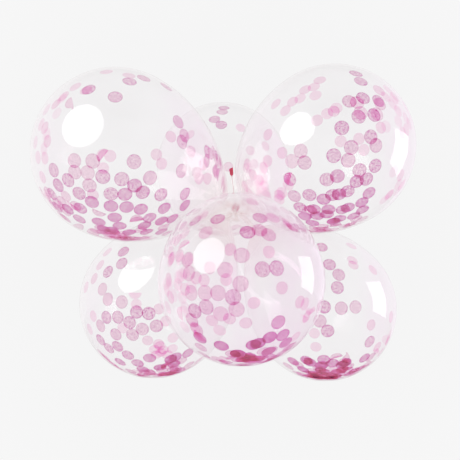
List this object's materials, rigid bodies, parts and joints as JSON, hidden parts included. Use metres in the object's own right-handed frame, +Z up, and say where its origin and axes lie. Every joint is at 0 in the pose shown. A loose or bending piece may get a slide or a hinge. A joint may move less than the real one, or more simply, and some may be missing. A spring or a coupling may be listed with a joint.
{
  "type": "confetti balloon cluster",
  "caption": "Clear round balloons with tissue confetti inside, tied neck to neck in a ball with a crimson ribbon.",
  "frame": {"origin": "on the floor, under the middle of the cluster's box; three balloons rest on the floor there", "axes": "+Z up from the floor, +X to the viewer's right and +Y away from the viewer, as the picture shows the cluster"},
  "size_m": [0.7042, 0.6008, 0.6264],
  "materials": {
    "clear_film": "clear, thin and glossy latex film",
    "tissue_confetti": "matte tissue paper discs, dusty pink, darker where they overlap",
    "crimson_ribbon": "glossy crimson gift ribbon"
  },
  "bodies": {
    "root": {"balloon_top_left": "clear_film", "balloon_top_right": "clear_film", "balloon_back": "clear_film", "balloon_front": "clear_film", "balloon_lower_left": "clear_film", "balloon_lower_right": "clear_film", "tie_ribbon": "crimson_ribbon"}
  },
  "joints": []
}
